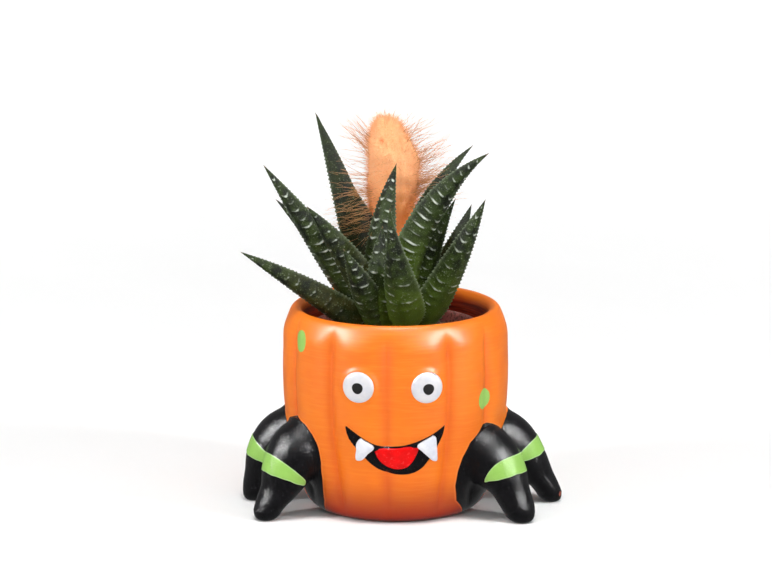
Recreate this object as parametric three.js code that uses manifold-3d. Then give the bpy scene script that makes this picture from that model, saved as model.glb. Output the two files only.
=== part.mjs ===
// A pumpkin-ribbed ceramic pot on four short legs, with a smiling face in relief. Inside it stands a
// plastic grower's pot of soil, planted with a zebra haworthia and one woolly column cactus.
// Millimetres, +Z up, the face looks along -Y, and the origin is the centre of the pot's flat base.
import * as THREE from "three";
import { mergeVertices } from "three/addons/utils/BufferGeometryUtils.js";
import Module from "manifold-3d";

const wasm = await Module();
wasm.setup();

// Driving sizes of the pot
const potHeight = 75;
const baseRadius = 27;
const bellyRadius = 41.6;
const mouthRadius = 34.3;
const lipCrestRadius = 36.5;
const insideFloor = 11.5;
const ribDepth = 1.2;
// where the creases between the twelve ribs run, in degrees round from +X
const creaseAngles = [-60, -34, 6, 33, 60, 88, 118, 148, 178, 207, 236.5, 267];
const stepsInRib = [0, 0.07, 0.24, 0.5, 0.76, 0.93];
// [radius, height] up the outside of the pot, and then down its inside
const outsideProfile = [
  [29.8, 0.7], [32.3, 2.8], [34.2, 6.4], [35.9, 12], [37.7, 20], [39.6, 29], [41, 38],
  [41.5, 46], [bellyRadius, 53], [41.4, 60], [40.9, 65.5], [40.1, 69.5], [39, 72.5], [37.8, 74.3],
];
const insideProfile = [
  [35.3, 74.6], [mouthRadius, 72.6], [34.4, 66], [35, 54], [34.8, 42], [33.6, 30], [30.8, 20],
  [27, 14.3], [23.5, 11.9], [22.2, insideFloor],
];

// Driving sizes of the legs: the way each points in degrees round from +X, and then, from its thigh down
// to its foot, [distance from the axis, height, radius]
const legs = [
  {
    azimuth: 209.5,
    middle: [
      [33, 28, 10.5], [40, 23.6, 11.2], [44.6, 16.8, 9.4], [47.5, 10.8, 7.3], [50.7, 6.2, 6.3],
      [52.5, 3.6, 5.4],
    ],
  },
  {
    azimuth: 330.5,
    middle: [
      [33, 25.6, 10], [40, 22.3, 10.8], [45.6, 16, 9], [49.2, 10.6, 7], [51.6, 6.2, 6.5],
      [52.7, 3.6, 5.8],
    ],
  },
  {
    azimuth: 178,
    middle: [
      [33, 27.5, 10.5], [41.5, 23, 10.6], [46, 16.5, 9.4], [48.7, 10.6, 7.3], [50.7, 6.3, 6],
      [51.6, 3.6, 5.2],
    ],
  },
  {
    azimuth: 3,
    middle: [
      [33, 28, 10], [41.5, 22.8, 10.2], [47.5, 15.8, 8.5], [52, 10, 6.5], [55.2, 6.2, 5.5],
      [56.8, 3.6, 4.9],
    ],
  },
];
const legSides = 16;
const legRows = 10;

// Driving sizes of the face
const eyeSpacing = 24.4;
const eyeHeight = 53.5;
const eyeRadius = 5.9;
const eyeBulge = 2.6;
const mouthHalf = 18.7;
const mouthCorner = 38.6;
const upperLipDrop = 8.2;
const lowerLipDrop = 18.6;
const mouthSunk = 1;
const fangRaised = 0.9;
const reliefRoot = 4; // how deep the tongue and the fangs reach into the wall
const prismFront = 50; // the face outlines are cut as prisms between these two distances in front of the axis
const prismBack = 24;
const eyeSeat = 0.6; // how far an eye's rim sits below the body's surface, and how deep its root goes
const eyeRoot = 2.5;

// Driving sizes of the grower's pot and the soil
const growerRim = 67.6;
const growerRadius = 31.4;
const growerFootRadius = 21.5;
const growerWall = 1.1;
const growerNeck = 63.6; // where the wall meets the rolled rim, and its radius there outside and inside
const growerNeckRadius = 29.4;
const growerInnerRadius = 28.5;
const drainHoles = 4;
const drainRadius = 2.6;
const drainFromAxis = 13;
const soilTop = 63.6;
const clearance = 0.3;

// Driving sizes of the plants
const rosette = { x: 1, y: -1 };
const cactusPlace = { x: -1.4, y: 14 };
const cactusTop = 143.8;
const leafRidges = 7;
const leafThickness = 0.38; // both as shares of the leaf's own width
const leafInnerBulge = 0.09;
// Each leaf: the way it points in degrees round from +X, how far that way swings by the tip, its lean from
// upright at the base and at the tip, its turn about its own length, its length and width, and how far out
// and how high it starts.
const leaves = [
  { name: "leaf_heart", way: 100, lean: [4, 0], long: 26, wide: 7.5, out: 2, up: 66 },
  { name: "leaf_middle", way: -150, swing: 12, lean: [18, -22.5],
    turn: 35, long: 65, wide: 15, out: 2.5, up: 64 },
  { name: "leaf_front", way: -72, swing: -80, lean: [38, 4], long: 56, wide: 15.5, out: 4.5, up: 64 },
  { name: "leaf_second", way: -120, swing: 10, lean: [36, -20],
    turn: 20, long: 45, wide: 13, out: 4.5, up: 63.5 },
  { name: "leaf_right_tall", way: -20, swing: 3, lean: [-10, 58],
    turn: -50, long: 81, wide: 17, out: 4, up: 64 },
  { name: "leaf_right_inner", way: -11, lean: [7, 28], turn: -45, long: 55, wide: 12, out: 5, up: 63.5 },
  { name: "leaf_right_low", way: -24, lean: [31, 26], turn: -45, long: 62, wide: 14, out: 5.5, up: 63 },
  { name: "leaf_left_front", way: -157, swing: -4, lean: [20, 42],
    turn: 45, long: 60, wide: 17, out: 4.5, up: 63 },
  { name: "leaf_front_short", way: -131, swing: -2, lean: [30, 34],
    turn: 25, long: 44, wide: 14, out: 5.5, up: 63 },
  { name: "leaf_left_low", way: -164, lean: [53, 61], turn: 50, long: 64, wide: 14, out: 5.5, up: 63 },
  { name: "leaf_left_upper", way: -174, lean: [34, 36], turn: 55, long: 78, wide: 16, out: 4.5, up: 64 },
  { name: "leaf_left_tall", way: 153, lean: [13, 28], turn: -50, long: 87, wide: 17.5, out: 4.5, up: 62.5 },
  { name: "leaf_right_rear", way: 18, lean: [-13, 51], turn: 40, long: 77, wide: 12.5, out: 5, up: 64 },
  { name: "leaf_right_outer", way: 8, lean: [27, 20], turn: 50, long: 54, wide: 14, out: 5.5, up: 62.5 },
  { name: "leaf_left_rear", way: 175, lean: [29, 47], turn: 60, long: 65, wide: 13, out: 5.5, up: 62.5 },
  { name: "leaf_back_right", way: 44, swing: 6, lean: [34, 12], long: 34, wide: 12, out: 5, up: 63 },
  { name: "leaf_back_left", way: 136, swing: -4, lean: [44, 16], long: 36, wide: 13, out: 5, up: 62.5 },
];

const group = new THREE.Group();
const rad = THREE.MathUtils.degToRad;

// A solid that can be cut and joined, from a closed geometry. Its faces end up pointing outwards whichever
// way the geometry's rings or profile ran, and the flat triangles at a lathe's poles are dropped.
function toSolid(geometry) {
  geometry.deleteAttribute("normal");
  geometry.deleteAttribute("uv");
  const merged = mergeVertices(geometry);
  const points = merged.getAttribute("position");
  const corners = [0, 1, 2].map(() => new THREE.Vector3());
  const faces = [];
  let volume = 0;
  for (let i = 0; i < merged.index.count; i += 3) {
    const face = [0, 1, 2].map((k) => merged.index.getX(i + k));
    if (new Set(face).size < 3) continue;
    faces.push(...face);
    const [a, b, c] = corners.map((corner, k) => corner.fromBufferAttribute(points, face[k]));
    volume += a.dot(b.cross(c));
  }
  if (volume < 0) faces.reverse();
  const triVerts = new Uint32Array(faces);
  return new wasm.Manifold(new wasm.Mesh({ numProp: 3, vertProperties: points.array, triVerts }));
}

// A skin over rings of points, drawn in to one point at each end.
function skin(rings, first, last) {
  const round = rings[0].length;
  const end = 1 + rings.length * round;
  const at = (row, i) => 1 + row * round + (i % round);
  const faces = [];
  for (let i = 0; i < round; i++) {
    faces.push(0, at(0, i + 1), at(0, i));
    for (let row = 0; row + 1 < rings.length; row++) {
      faces.push(at(row, i), at(row, i + 1), at(row + 1, i + 1));
      faces.push(at(row, i), at(row + 1, i + 1), at(row + 1, i));
    }
    faces.push(end, at(rings.length - 1, i), at(rings.length - 1, i + 1));
  }
  const geometry = new THREE.BufferGeometry().setFromPoints([first, ...rings.flat(), last]);
  geometry.setIndex(faces);
  return toSolid(geometry);
}

// A turned solid from a profile of [radius, height], which this closes on the axis at both ends.
function turned(profile, sides) {
  const [bottom, top] = [profile[0][1], profile[profile.length - 1][1]];
  const outline = [[0, bottom], ...profile, [0, top]].map(([r, z]) => new THREE.Vector2(r, z));
  return toSolid(new THREE.LatheGeometry(outline, sides).rotateX(Math.PI / 2));
}

function addNode(name, solid, colour, roughness) {
  const pieces = solid.decompose().sort((a, b) => b.volume() - a.volume());
  const mesh = pieces[0].getMesh();
  const geometry = new THREE.BufferGeometry();
  geometry.setAttribute("position", new THREE.BufferAttribute(new Float32Array(mesh.vertProperties), 3));
  geometry.setIndex(new THREE.BufferAttribute(new Uint32Array(mesh.triVerts), 1));
  geometry.computeVertexNormals();
  const material = new THREE.MeshStandardMaterial({ color: colour, roughness, metalness: 0 });
  const node = new THREE.Mesh(geometry, material);
  node.name = name;
  group.add(node);
}

// The pot's skin. Every crease starts a rib, and the ribs fade out at the lip and under the base.
const potDirections = creaseAngles.flatMap((start, i) => {
  const end = creaseAngles[(i + 1) % creaseAngles.length] + (i + 1 === creaseAngles.length ? 360 : 0);
  return stepsInRib.map((u) => {
    return { angle: rad(start + u * (end - start)), sunk: 1 - Math.pow(4 * u * (1 - u), 0.4) };
  });
});
function potRing(radius, z, outward, creased) {
  const belowLip = 1 - THREE.MathUtils.smoothstep(z, 64, potHeight);
  const fade = creased * THREE.MathUtils.smoothstep(z, 1, 10) * belowLip;
  return potDirections.map(({ angle, sunk }) => {
    const r = radius + outward - ribDepth * sunk * fade;
    return new THREE.Vector3(r * Math.cos(angle), r * Math.sin(angle), z);
  });
}
function potBody(outward, hollow) {
  const rings = [potRing(baseRadius, 0, outward, 0)];
  for (const [radius, z] of outsideProfile) rings.push(potRing(radius, z, outward, 1));
  rings.push(potRing(lipCrestRadius, potHeight, 0, 0));
  if (hollow) for (const [radius, z] of insideProfile) rings.push(potRing(radius, z, 0, 0));
  const top = new THREE.Vector3(0, 0, hollow ? insideFloor : potHeight);
  return skin(rings, new THREE.Vector3(0, 0, 0), top);
}

// A leg leaves the body as a broad round thigh, comes out and down, and ends in a rounded foot.
function leg({ azimuth, middle }) {
  const path = new THREE.CatmullRomCurve3(middle.map(([far, height]) => new THREE.Vector3(far, 0, height)));
  const girth = new THREE.CatmullRomCurve3(middle.map(([, , radius]) => new THREE.Vector3(radius, 0, 0)));
  const side = new THREE.Vector3(0, 1, 0);
  const rings = [];
  for (let row = 0; row <= legRows; row++) {
    const along = row / legRows;
    const centre = path.getPoint(along);
    // rings lie square to the leg's run at the top and turn level towards the foot
    const run = path.getTangent(along).lerp(new THREE.Vector3(0, 0, -1), Math.min(1, (1.1 * along) ** 2));
    const across = new THREE.Vector3().crossVectors(run, side).normalize();
    const radius = girth.getPoint(along).x;
    const ring = [];
    for (let i = 0; i < legSides; i++) {
      const a = (i / legSides) * 2 * Math.PI;
      const point = centre.clone().addScaledVector(side, radius * Math.sin(a));
      ring.push(point.addScaledVector(across, radius * Math.cos(a)));
    }
    rings.push(ring);
  }
  // the foot rounds off onto a small flat sole on the floor
  const ankle = rings[legRows];
  const foot = path.getPoint(1).x;
  for (const [share, z, outward] of [[0.87, 1.8, 0.5], [0.68, 0.6, 0.9], [0.45, 0, 1]]) {
    rings.push(ankle.map((p) => new THREE.Vector3(foot + outward + (p.x - foot) * share, p.y * share, z)));
  }
  return skin(rings, path.getPoint(0), new THREE.Vector3(foot + 1, 0, 0)).rotate([0, 0, azimuth]);
}

// A prism that runs back through the front wall, from an outline of [x, z] points.
function frontPrism(outline) {
  const shape = new THREE.Shape(outline.map(([x, z]) => new THREE.Vector2(x, z)));
  const geometry = new THREE.ExtrudeGeometry(shape, { depth: prismFront - prismBack, bevelEnabled: false });
  geometry.rotateX(Math.PI / 2); // the outline's second number now runs up, and the depth toward -Y
  geometry.translate(0, -prismBack, 0);
  return toSolid(geometry);
}

// The mouth is a crescent between two arcs that hang from its corners.
function arcBelow(half, top, drop, steps) {
  const points = [];
  for (let i = 0; i <= steps; i++) {
    const u = (2 * i) / steps - 1;
    points.push([half * u, top - drop * Math.pow(1 - u * u, 0.62)]);
  }
  return points;
}
const lowerLip = arcBelow(mouthHalf, mouthCorner, lowerLipDrop, 20);
const upperLip = arcBelow(mouthHalf - 0.5, mouthCorner + 0.6, upperLipDrop, 12).reverse();
const mouth = frontPrism([...lowerLip, ...upperLip]);
const tongue = frontPrism([
  [-7, 29.6], [-7.4, 27.4], [-6.4, 24.8], [-4, 22.9], [0.8, 21.9], [5.2, 22.7], [8, 24.8], [9, 27.6],
  [8.6, 29.6], [3.6, 30.2], [-2, 30.2],
]);
const fangs = [-1, 1].map((side) => {
  const outline = [[side * 12.9, 34.6], [side * 7.7, 30.6], [side * 14.4, 24.8]];
  return frontPrism(side < 0 ? outline.reverse() : outline);
});

// An eye is a low dome, turned to look straight out of the body's round front.
function eye(side) {
  const profile = [[eyeRadius * 0.9, -eyeRoot]];
  for (let i = 6; i >= 1; i--) {
    const a = (i / 6) * (Math.PI / 2);
    profile.push([eyeRadius * Math.sin(a), eyeBulge * Math.cos(a)]);
  }
  const x = (side * eyeSpacing) / 2;
  const turn = Math.asin(x / bellyRadius);
  const dome = turned(profile, 20).rotate([90, 0, THREE.MathUtils.radToDeg(turn)]);
  return dome.translate([x, -(bellyRadius - eyeSeat) * Math.cos(turn), eyeHeight]);
}

// The pot is one casting: the hollow body, the legs on its outside, and the face in relief.
function makePot() {
  const solidBody = potBody(0, false);
  const hollowBody = potBody(0, true);
  const core = potBody(-reliefRoot, false);
  const cavity = solidBody.subtract(hollowBody);
  let pot = hollowBody;
  for (const each of legs) pot = pot.add(leg(each).subtract(cavity));
  pot = pot.subtract(mouth.subtract(potBody(-mouthSunk, false)));
  pot = pot.add(tongue.intersect(solidBody).subtract(core));
  for (const fang of fangs) pot = pot.add(fang.intersect(potBody(fangRaised, false)).subtract(core));
  return pot.add(eye(-1)).add(eye(1));
}
addNode("pot", makePot(), 0xf27a1c, 0.35);

// The grower's pot: a thin tapering wall with a rolled rim and drain holes through its floor.
const growerFloor = insideFloor + growerWall;
let growerPot = turned([
  [growerFootRadius - 1, insideFloor], [growerFootRadius, insideFloor + 1],
  [growerNeckRadius, growerNeck], [30.9, growerNeck + 0.3],
  [growerRadius, 65.4], [growerRadius - 0.2, 67], [growerRadius - 0.8, growerRim], [30, growerRim - 0.1],
  [29.2, growerRim - 0.9], [growerInnerRadius, growerNeck + 0.4],
  [growerFootRadius - growerWall, growerFloor + 0.6], [growerFootRadius - growerWall - 0.8, growerFloor],
], 40);
for (let i = 0; i < drainHoles; i++) {
  const hole = new THREE.CylinderGeometry(drainRadius, drainRadius, 4, 14).rotateX(Math.PI / 2);
  hole.translate(drainFromAxis, 0, insideFloor).rotateZ(((i + 0.5) / drainHoles) * 2 * Math.PI);
  growerPot = growerPot.subtract(toSolid(hole));
}
addNode("nursery_pot", growerPot, 0x9a5a50, 0.5);

// The haworthia's short stem, half under the soil, and the leaves that stand on it.
const stemProfile = (grow) => [
  [2.4 + grow, 54 - grow], [4.4 + grow, 57], [6.2 + grow, 61], [6.5 + grow, 64.5],
  [5.6 + grow, 68 + grow / 2], [3 + grow, 70.6 + grow],
];
const stem = (grow) => turned(stemProfile(grow), 18).translate([rosette.x, rosette.y, 0]);

const cactusProfile = [
  [4.5, 48], [6.6, 51], [7.3, 62], [7.7, 80], [7.9, 96], [8.3, 106], [9, 113], [9.6, 119.5], [9.6, 125.5],
  [8.9, 131.5], [7.4, 136.6], [5.2, 140.6], [2.6, 143],
];
function cactus(grow) {
  const profile = cactusProfile.map(([radius, z]) => [radius + grow, z]);
  return turned([...profile, [0.3, cactusTop + grow]], 20).translate([cactusPlace.x, cactusPlace.y, 0]);
}

// One leaf: narrow at the stem, widest a quarter of the way up, then an even taper to a point. Its face
// toward the plant's centre is nearly flat, and its outer face is keeled and crossed by raised ridges.
const leafSection = [[1, 0], [0.62, 0.58], [0.08, 1], [-0.56, 0.64], [-1, 0], [0, -1]];
function leaf({ way, swing = 0, lean, turn = 0, long, wide, out, up }, grow) {
  const rows = leafRidges * 2 + 3;
  const step = long / rows;
  let height = up;
  let x = rosette.x + out * Math.cos(rad(way));
  let y = rosette.y + out * Math.sin(rad(way));
  const rings = [];
  let base;
  for (let row = 0; row < rows; row++) {
    const t = row / rows;
    const tilt = rad(THREE.MathUtils.lerp(lean[0], lean[1], t));
    const azimuth = rad(way + swing * t);
    const outward = new THREE.Vector3(Math.cos(azimuth), Math.sin(azimuth), 0);
    const growth = outward.clone().multiplyScalar(Math.sin(tilt)).setZ(Math.cos(tilt));
    const side = new THREE.Vector3(-outward.y, outward.x, 0).applyAxisAngle(growth, rad(turn));
    const back = outward.clone().multiplyScalar(Math.cos(tilt)).setZ(-Math.sin(tilt));
    back.applyAxisAngle(growth, rad(turn));
    const belly = 0.5 + 0.5 * THREE.MathUtils.smoothstep(t, 0, 0.26);
    const share = t < 0.2 ? belly : belly * (1 - Math.pow((t - 0.2) / 0.8, 1.7));
    const ridge = row % 2 === 1 && t > 0.1 ? 0.4 * Math.min(1, 3 * (1 - t)) : 0;
    const centre = new THREE.Vector3(x, y, height);
    if (row === 0) base = centre.clone().addScaledVector(outward, -0.5 * Math.sin(tilt)).setZ(height - 0.5);
    const half = (wide / 2) * share + grow;
    const thick = wide * leafThickness * Math.pow(share, 0.8) + ridge + grow;
    const hollow = leafInnerBulge * wide * share + grow;
    rings.push(leafSection.map(([across, deep]) => centre.clone()
      .addScaledVector(side, across * half).addScaledVector(back, deep * (deep > 0 ? thick : hollow))));
    const ahead = rad(THREE.MathUtils.lerp(lean[0], lean[1], (row + 0.5) / rows));
    x += step * Math.sin(ahead) * outward.x;
    y += step * Math.sin(ahead) * outward.y;
    height += step * Math.cos(ahead);
  }
  return skin(rings, base, new THREE.Vector3(x, y, height + grow));
}

let taken = stem(clearance).add(cactus(clearance));
addNode("haworthia_stem", stem(0), 0x6f7d52, 0.7);
for (const each of leaves) {
  addNode(each.name, leaf(each, 0).subtract(taken), 0x4f7a3a, 0.5);
  taken = taken.add(leaf(each, clearance));
}
addNode("woolly_cactus", cactus(0), 0xf2934a, 0.9);

// The soil: a plug that fills the grower's pot, with an uneven top, round the stem and the cactus.
const soilRings = [];
const soilSides = 26;
const wallAt = (z) => growerFootRadius - growerWall - clearance
  + ((z - growerFloor) / (growerNeck - growerFloor)) * (growerInnerRadius - growerFootRadius + growerWall);
const soilRows = [
  [growerFootRadius - 2.6, growerFloor], [wallAt(growerFloor + 1), growerFloor + 1],
  [wallAt(soilTop - 1.2), soilTop - 1.2], [wallAt(soilTop) - 2, soilTop], [20, soilTop], [12, soilTop],
  [5, soilTop],
];
soilRows.forEach(([radius, z], row) => {
  const ring = [];
  for (let i = 0; i < soilSides; i++) {
    const a = (i / soilSides) * 2 * Math.PI;
    const uneven = row > 2 ? 0.45 * Math.sin(5 * a + row * 2.1) + 0.35 * Math.sin(11 * a + row * 4.3) : 0;
    ring.push(new THREE.Vector3(radius * Math.cos(a), radius * Math.sin(a), z + uneven));
  }
  soilRings.push(ring);
});
const soil = skin(soilRings, new THREE.Vector3(0, 0, growerFloor), new THREE.Vector3(0, 0, soilTop));
addNode("soil", soil.subtract(taken), 0x3f3027, 0.95);

export default group;
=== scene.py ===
import math
import bmesh
import bpy
import numpy as np
from mathutils import Matrix, Vector


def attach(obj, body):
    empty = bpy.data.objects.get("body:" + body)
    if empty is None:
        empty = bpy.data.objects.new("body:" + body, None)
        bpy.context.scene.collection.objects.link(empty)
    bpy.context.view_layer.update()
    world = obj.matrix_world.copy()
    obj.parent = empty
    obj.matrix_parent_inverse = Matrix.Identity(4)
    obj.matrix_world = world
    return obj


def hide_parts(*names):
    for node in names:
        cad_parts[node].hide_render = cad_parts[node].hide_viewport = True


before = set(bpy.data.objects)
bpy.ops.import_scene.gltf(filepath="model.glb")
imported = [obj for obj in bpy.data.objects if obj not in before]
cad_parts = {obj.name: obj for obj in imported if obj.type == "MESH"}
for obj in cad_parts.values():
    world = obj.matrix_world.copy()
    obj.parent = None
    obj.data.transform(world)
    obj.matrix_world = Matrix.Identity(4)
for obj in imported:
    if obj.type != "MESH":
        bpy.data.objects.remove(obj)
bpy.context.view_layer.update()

mm = 0.001


# a Wire is one output of a node, and a Paint is a material being built
class Wire:
    def __init__(self, paint, socket):
        self.paint = paint
        self.socket = socket

    def maths(self, operation, first, second=None):
        return self.paint.node("ShaderNodeMath", {"operation": operation}, {0: first, 1: second})

    def __add__(self, other):
        return self.maths("ADD", self, other)

    def __radd__(self, other):
        return self.maths("ADD", other, self)

    def __sub__(self, other):
        return self.maths("SUBTRACT", self, other)

    def __rsub__(self, other):
        return self.maths("SUBTRACT", other, self)

    def __mul__(self, other):
        return self.maths("MULTIPLY", self, other)


class Paint:
    def __init__(self, name, specular, constants=None):
        self.material = bpy.data.materials.new(name)
        self.material.use_nodes = True
        self.tree = self.material.node_tree
        self.shader = self.tree.nodes["Principled BSDF"]
        self.shader.inputs["Specular IOR Level"].default_value = specular
        for socket, value in (constants or {}).items():
            self.shader.inputs[socket].default_value = value

    def node(self, kind, settings=None, inputs=None, output=0):
        made = self.tree.nodes.new(kind)
        for name, value in (settings or {}).items():
            if name == "stops":
                ramp = made.color_ramp.elements
                while len(ramp) < len(value):
                    ramp.new(0.5)
                for element, (position, shade) in zip(ramp, value):
                    element.position, element.color = position, shade
            else:
                setattr(made, name, value)
        for name, value in (inputs or {}).items():
            if isinstance(value, Wire):
                self.tree.links.new(value.socket, made.inputs[name])
            elif value is not None:
                made.inputs[name].default_value = value
        return Wire(self, made.outputs[output])

    def feed(self, socket, wire):
        self.tree.links.new(wire.socket, self.shader.inputs[socket])

    def place(self, stretch=(1, 1, 1)):
        # the piece's own coordinates in millimetres, stretched for streaks and grain
        metres = self.node("ShaderNodeTexCoord", output="Object")
        return self.node("ShaderNodeMapping", {}, {"Vector": metres, "Scale": [1000 * s for s in stretch]})

    def grain(self, size, detail=3, stretch=(1, 1, 1)):
        # noise whose blotches are about size millimetres across
        inputs = {"Vector": self.place(stretch), "Scale": 1 / size, "Detail": detail, "Roughness": 0.55}
        return self.node("ShaderNodeTexNoise", {}, inputs)

    def layer(self, name):
        return self.node("ShaderNodeAttribute", {"attribute_name": name}, output="Fac")

    def step(self, value, low, high):
        settings = {"interpolation_type": "SMOOTHSTEP"}
        return self.node("ShaderNodeMapRange", settings, {0: value, 1: low, 2: high, 3: 0.0, 4: 1.0})

    def blend(self, factor, first, second):
        return self.node("ShaderNodeMix", {"data_type": "RGBA"}, {0: factor, 6: first, 7: second}, 2)

    def height(self):
        return self.node("ShaderNodeSeparateXYZ", {}, {0: self.place()}, 2)

    def mottle(self, noise, low, high, first, second):
        # the first colour where the noise is low, and the second where it's high
        return self.blend(self.step(noise, low, high), first, second)

    def relief(self, height, depth, strength=1.0, under=None):
        # depth is in millimetres
        inputs = {"Height": height, "Distance": depth * mm, "Strength": strength, "Normal": under}
        return self.node("ShaderNodeBump", {}, inputs)

    def finish(self, colour, roughness, normal):
        self.feed("Base Color", colour)
        self.feed("Roughness", roughness)
        self.feed("Normal", normal)
        return self.material


def shade(red, green, blue):
    # a screen colour, 0 to 255, as the shader's own linear colour
    parts = [part / 255 for part in (red, green, blue)]
    linear = [part / 12.92 if part <= 0.04 else ((part + 0.055) / 1.055) ** 2.4 for part in parts]
    return (*linear, 1.0)


def smooth(value, low, high):
    t = np.clip((value - low) / (high - low), 0, 1)
    return t * t * (3 - 2 * t)


def curveThrough(points, spacing):
    # a smooth line through the points, in equal steps of about the spacing
    p = np.array(points, float)
    p = np.vstack([2 * p[0] - p[1], p, 2 * p[-1] - p[-2]])
    knots = np.concatenate([[0], np.cumsum(np.linalg.norm(np.diff(p, axis=0), axis=1) ** 0.5)])
    dense = []
    for i in range(1, len(p) - 2):
        a, b, c, d = knots[i - 1:i + 3]
        t = np.linspace(b, c, 24, endpoint=False)[:, None]
        ab = ((b - t) * p[i - 1] + (t - a) * p[i]) / (b - a)
        bc = ((c - t) * p[i] + (t - b) * p[i + 1]) / (c - b)
        cd = ((d - t) * p[i + 1] + (t - c) * p[i + 2]) / (d - c)
        abc = ((c - t) * ab + (t - a) * bc) / (c - a)
        bcd = ((d - t) * bc + (t - b) * cd) / (d - b)
        dense.append(((c - t) * abc + (t - b) * bcd) / (c - b))
    dense = np.vstack(dense + [p[-2:-1]])
    length = np.concatenate([[0], np.cumsum(np.linalg.norm(np.diff(dense, axis=0), axis=1))])
    at = np.linspace(0, length[-1], max(2, round(length[-1] / spacing)) + 1)
    return np.column_stack([np.interp(at, length, column) for column in dense.T])


def rowAt(line, t):
    # the line's rows at each row number, whole or not
    at = np.minimum(t.astype(int), len(line) - 2)
    share = (t - at)[:, None]
    return line[at] * (1 - share) + line[at + 1] * share


def radiusAt(profile, z):
    line = curveThrough(profile, 1)
    return np.interp(z, line[:, 1], line[:, 0])


def distanceInside(x, z, outline):
    # distance to a closed outline, positive inside it
    nearest = np.full(x.shape, 1e9)
    inside = np.zeros(x.shape, bool)
    for (ax, az), (bx, bz) in zip(outline, np.roll(outline, -1, axis=0)):
        dx, dz = bx - ax, bz - az
        t = np.clip(((x - ax) * dx + (z - az) * dz) / (dx * dx + dz * dz + 1e-12), 0, 1)
        nearest = np.minimum(nearest, np.hypot(x - ax - t * dx, z - az - t * dz))
        if az != bz:
            inside ^= ((az > z) != (bz > z)) & (x < ax + (z - az) * dx / (bz - az))
    return np.where(inside, nearest, -nearest)


def turnFrom(angle, middle):
    # degrees round from the middle, between -180 and 180
    return (angle - middle + 180) % 360 - 180


def spun(x, y, degrees):
    # places turned round the upright axis
    c, s = math.cos(math.radians(degrees)), math.sin(math.radians(degrees))
    return x * c - y * s, x * s + y * c


def polar(points):
    # how far from the upright axis, degrees round from +X, and height
    x, y, z = points.T
    return np.hypot(x, y), np.degrees(np.arctan2(y, x)), z


def getPoints(mesh):
    flat = np.empty(len(mesh.vertices) * 3, np.float32)
    mesh.vertices.foreach_get("co", flat)
    return flat.reshape(-1, 3).astype(float) / mm


def setPoints(mesh, points):
    mesh.vertices.foreach_set("co", (np.asarray(points) * mm).astype(np.float32).ravel())
    mesh.update()


def addLayers(mesh, layers):
    for name, values in layers.items():
        layer = mesh.attributes.new(name, "FLOAT", "POINT")
        layer.data.foreach_set("value", np.broadcast_to(values, len(mesh.vertices)).astype(np.float32))


def putInScene(name, data):
    made = bpy.data.objects.new(name, data)
    bpy.context.scene.collection.objects.link(made)
    return made


def finishPiece(name, mesh, material, node):
    mesh.materials.clear()
    mesh.materials.append(material)
    mesh.shade_smooth()
    piece = putInScene(name, mesh)
    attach(piece, "root")
    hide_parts(node)


def meshFrom(name, bm):
    mesh = bpy.data.meshes.new(name)
    bm.to_mesh(mesh)
    bm.free()
    return mesh


def turnedMesh(name, profile, steps):
    # spins a profile of radius and height, in millimetres, round the upright axis
    bm = bmesh.new()
    points = [bm.verts.new((r * mm, 0, z * mm)) for r, z in profile]
    edges = [bm.edges.new(pair) for pair in zip(points, points[1:])]
    bmesh.ops.spin(bm, geom=points + edges, cent=(0, 0, 0), axis=(0, 0, 1), angle=2 * math.pi,
                   steps=steps, use_merge=True)
    bmesh.ops.remove_doubles(bm, verts=bm.verts, dist=0.001 * mm)
    bmesh.ops.recalc_face_normals(bm, faces=bm.faces)
    return meshFrom(name, bm)


def wrappedMesh(name, around, along, shape):
    # bends a grid into a closed skin: u runs round the piece and v from one end to the other
    bm = bmesh.new()
    bmesh.ops.create_grid(bm, x_segments=around, y_segments=along, size=0.5)
    mesh = bpy.data.meshes.new(name)
    bm.to_mesh(mesh)
    grid = getPoints(mesh) * mm + 0.5
    points, layers = shape(grid[:, 0], grid[:, 1])
    setPoints(mesh, points)
    addLayers(mesh, layers)
    bm.clear()
    bm.from_mesh(mesh)
    bmesh.ops.remove_doubles(bm, verts=bm.verts, dist=0.002 * mm)
    bmesh.ops.recalc_face_normals(bm, faces=bm.faces)
    bm.to_mesh(mesh)
    bm.free()
    return mesh


# lengths are in millimetres, and angles in degrees round from +X
potShape = {
    # radius and height up the outside and down the inside, then height and radius halfway through the wall
    "outside": [[27, 0], [29.8, 0.7], [32.3, 2.8], [34.2, 6.4], [35.9, 12], [37.7, 20], [39.6, 29],
                [41, 38], [41.5, 46], [41.6, 53], [41.4, 60], [40.9, 65.5], [40.1, 69.5], [39, 72.5],
                [37.8, 74.3], [36.5, 75]],
    "inside": [[36.5, 75], [35.3, 74.6], [34.3, 72.6], [34.4, 66], [35, 54], [34.8, 42], [33.6, 30],
               [30.8, 20], [27, 14.3], [23.5, 11.9], [22.2, 11.5]],
    "wallMiddle": [[0, 0], [11, 0], [11.2, 29], [14, 31.6], [20, 34.3], [30, 36.6], [42, 38], [54, 38.3],
                   [66, 37.7], [72.6, 36.7], [75, 36.5]],
    "belly": 41.3,
    "top": 75,
    "floor": 11.5,
    # flat round middles: the underside's and the inner floor's radius
    "baseRadius": 26,
    "floorRadius": 20,
    "creases": [-60, -34, 6, 33, 60, 88, 118, 148, 178, 207, 236.5, 267, 300],
    "ribDepth": 1.6,
    "columnsInRib": 36,
    "fillet": 3.2,
    # green dots: angle, height, radius
    "dots": [[214.6, 66.1, 3.8], [323.9, 45.3, 3.75], [5.5, 66.3, 3.8], [158, 50, 3.7], [120, 65, 3.8],
             [96, 40, 3.7], [62, 60, 3.8], [28, 44, 3.7], [74, 17, 3.6], [112, 20, 3.5]],
}

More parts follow.
